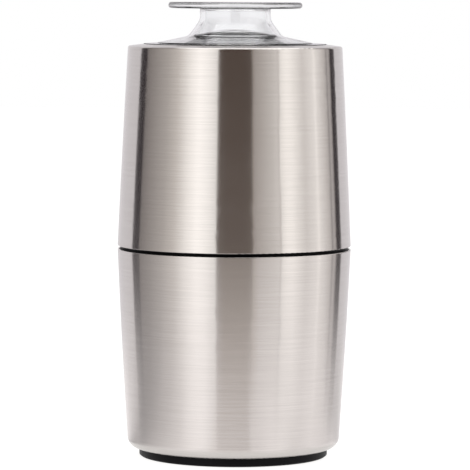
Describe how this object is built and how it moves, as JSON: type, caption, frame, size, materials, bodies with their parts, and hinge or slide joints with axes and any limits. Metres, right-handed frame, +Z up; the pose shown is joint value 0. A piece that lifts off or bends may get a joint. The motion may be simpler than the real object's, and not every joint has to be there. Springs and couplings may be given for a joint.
{
  "type": "electric dry grinder",
  "caption": "Free-standing blade grinder: tapered steel barrel with a motor below, a bowl with a twin blade above and a lift-off lid with a clear top that is pressed to run.",
  "frame": {"origin": "on the floor, under the middle of the foot", "axes": "+Z up along the barrel's axis; the front faces -Y and the lead inlet is at the back, +Y"},
  "size_m": [0.1, 0.1, 0.1945],
  "materials": {
    "brushed_steel": "fine brushing round the barrel",
    "bowl_steel": "satin drawn steel",
    "clear_plastic": "clear, polished",
    "black_plastic": "fine moulded grain",
    "black_rubber": "matt",
    "silicone": "translucent, satin",
    "blade_steel": "ground",
    "plated_steel": "zinc plated",
    "lamination_steel": "stacked laminations",
    "copper": "enamelled copper",
    "brass": "turned",
    "die_cast": "cast, grey",
    "phenolic": "brown phenolic",
    "carbon": "pressed carbon",
    "white_plastic": "plain moulding"
  },
  "bodies": {
    "base": {"housing_shell": "brushed_steel", "top_deck": "black_plastic", "base_cover": "black_plastic", "foot_ring": "black_rubber", "cover_screws": "plated_steel", "cord_gland": "black_plastic", "stator_core": "lamination_steel", "field_coils": "copper", "upper_bracket": "die_cast", "lower_bracket": "die_cast", "shaft_bushes": "brass", "motor_bolts": "plated_steel", "brush_holders": "phenolic", "carbon_brushes": "carbon", "brush_springs": "plated_steel", "brush_caps": "brass", "motor_grommets": "black_rubber", "mount_screws": "plated_steel", "micro_switch": "phenolic", "switch_terminals": "brass", "switch_screws": "plated_steel"},
    "rotor": {"motor_shaft": "plated_steel", "armature_core": "lamination_steel", "armature_winding": "copper", "commutator": "copper", "cooling_fan": "white_plastic", "drive_coupling": "black_plastic"},
    "plunger": {"switch_plunger": "white_plastic", "switch_button": "white_plastic"},
    "bowl": {"bowl": "bowl_steel", "bowl_base": "black_plastic", "bowl_gasket": "silicone", "bearing_bush": "brass", "bearing_nut": "brass", "pin_guide": "black_plastic", "interlock_spring": "plated_steel"},
    "cutter": {"blade_shaft": "blade_steel", "blade": "blade_steel", "blade_nut": "blade_steel", "driven_coupling": "black_plastic"},
    "interlock": {"interlock_pin": "plated_steel"},
    "lid": {"lid_dome": "clear_plastic", "lid_liner": "clear_plastic", "lid_sleeve": "brushed_steel", "lid_ring": "black_plastic", "lid_seal": "silicone"}
  },
  "joints": [
    {"name": "motor_spin", "type": "hinge", "parent": "base", "child": "rotor", "pos_m": [0, 0, 0.05], "axis": [0, 0, 1], "continuous": true},
    {"name": "switch_press", "type": "slide", "parent": "base", "child": "plunger", "axis": [0, 0, 1], "range_m": [-0.001, 0]},
    {"name": "bowl_lift", "type": "slide", "parent": "base", "child": "bowl", "axis": [0, 0, 1], "range_m": [0, 0.05]},
    {"name": "blade_spin", "type": "hinge", "parent": "bowl", "child": "cutter", "pos_m": [0, 0, 0.105], "axis": [0, 0, 1], "continuous": true},
    {"name": "lid_press", "type": "slide", "parent": "bowl", "child": "interlock", "axis": [0, 0, 1], "range_m": [-0.001, 0], "stiffness_N_per_m": 1500, "springref_m": 0.004, "deforming": ["interlock_spring"]},
    {"name": "lid_lift", "type": "slide", "parent": "interlock", "child": "lid", "axis": [0, 0, 1], "range_m": [0, 0.09]}
  ],
  "couplings": [
    {"joint": "blade_spin", "follows": "motor_spin", "ratio": 1},
    {"joint": "switch_press", "follows": "lid_press", "ratio": 1}
  ]
}
